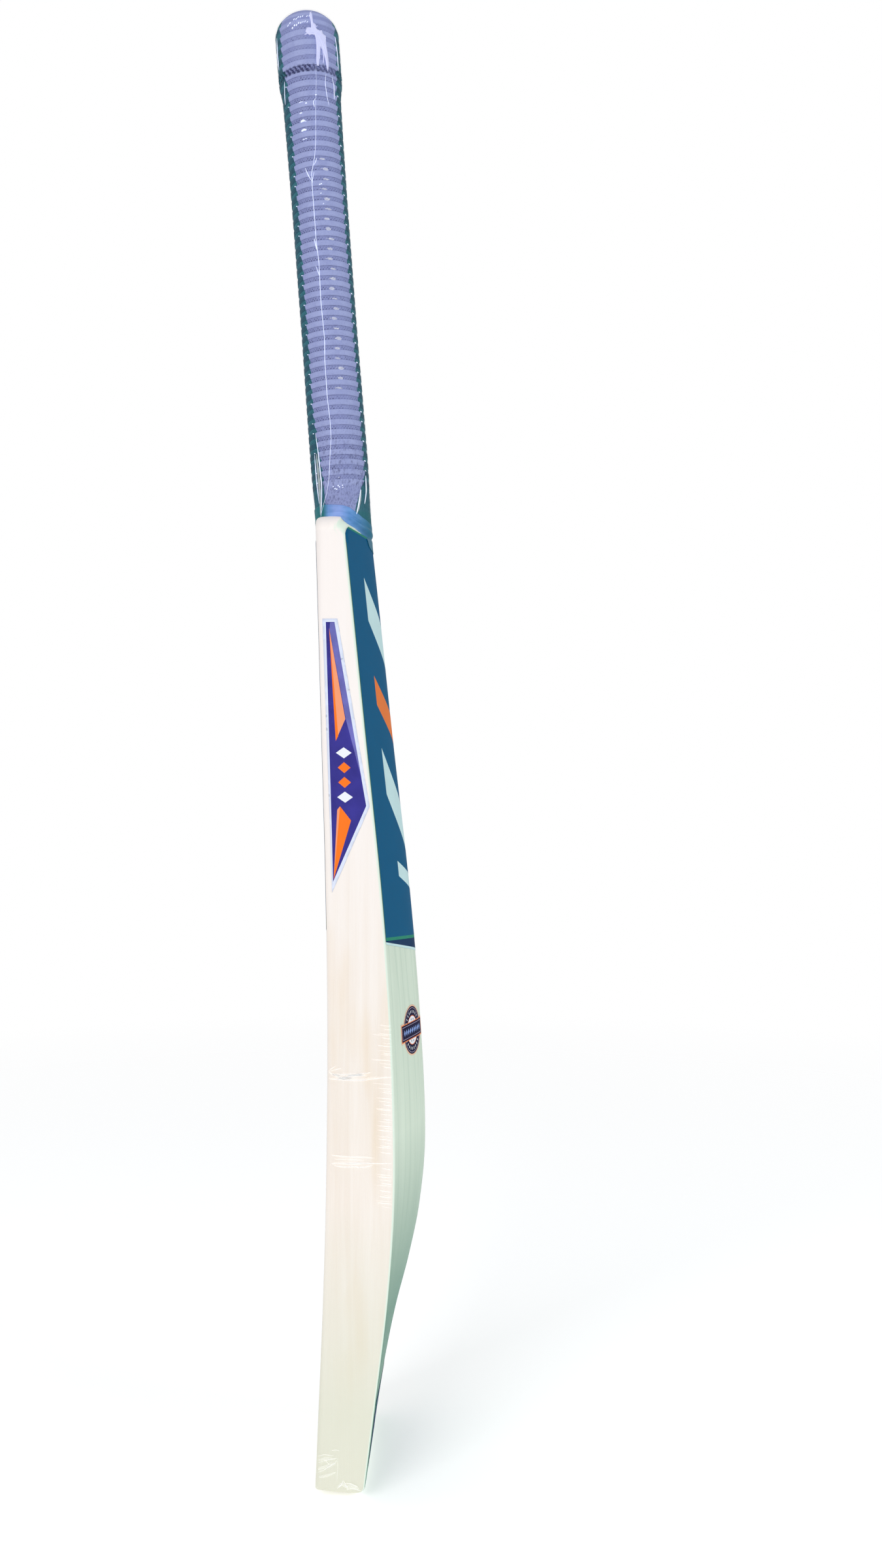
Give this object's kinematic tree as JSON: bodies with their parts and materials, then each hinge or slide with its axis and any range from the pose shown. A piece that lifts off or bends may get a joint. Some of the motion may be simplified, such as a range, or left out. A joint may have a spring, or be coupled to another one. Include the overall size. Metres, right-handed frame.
{
  "type": "cricket bat",
  "caption": "Cricket bat: willow blade with a ridged back and bowed face, a sprung cane handle under a ribbed rubber grip, in clear shop film.",
  "frame": {"origin": "middle of the flat underside of the blade's toe", "axes": "+Z from the toe up the blade to the handle, +X across the blade's width, +Y from the hitting face to the ridged back"},
  "size_m": [0.1098, 0.0915, 0.8671],
  "materials": {
    "willow": "planed, oiled and polished pale willow",
    "cane": "bare cane, glued",
    "spring_rubber": "matte black sheet rubber",
    "twine": "waxed twine, tightly wound",
    "grip_rubber": "soft ribbed rubber, lavender and teal",
    "clear_film": "clear shrink film",
    "label_vinyl": "printed satin vinyl",
    "toe_vinyl": "printed satin vinyl",
    "edge_vinyl": "printed satin vinyl",
    "seal_vinyl": "printed satin vinyl"
  },
  "bodies": {
    "root": {"blade": "willow", "twine_binding": "twine", "grip": "grip_rubber", "handle_film": "clear_film", "blade_film": "clear_film", "back_label": "label_vinyl", "face_label": "label_vinyl", "toe_label": "toe_vinyl", "edge_label_right": "edge_vinyl", "edge_label_left": "edge_vinyl", "quality_seal": "seal_vinyl", "cane_1_a": "cane", "cane_1_b": "cane", "cane_1_c": "cane", "cane_2_a": "cane", "cane_2_b": "cane", "cane_2_c": "cane", "cane_3_a": "cane", "cane_3_b": "cane", "cane_3_c": "cane", "cane_4_a": "cane", "cane_4_b": "cane", "cane_4_c": "cane", "rubber_spring_1": "spring_rubber", "rubber_spring_2": "spring_rubber", "rubber_spring_3": "spring_rubber"}
  },
  "joints": []
}
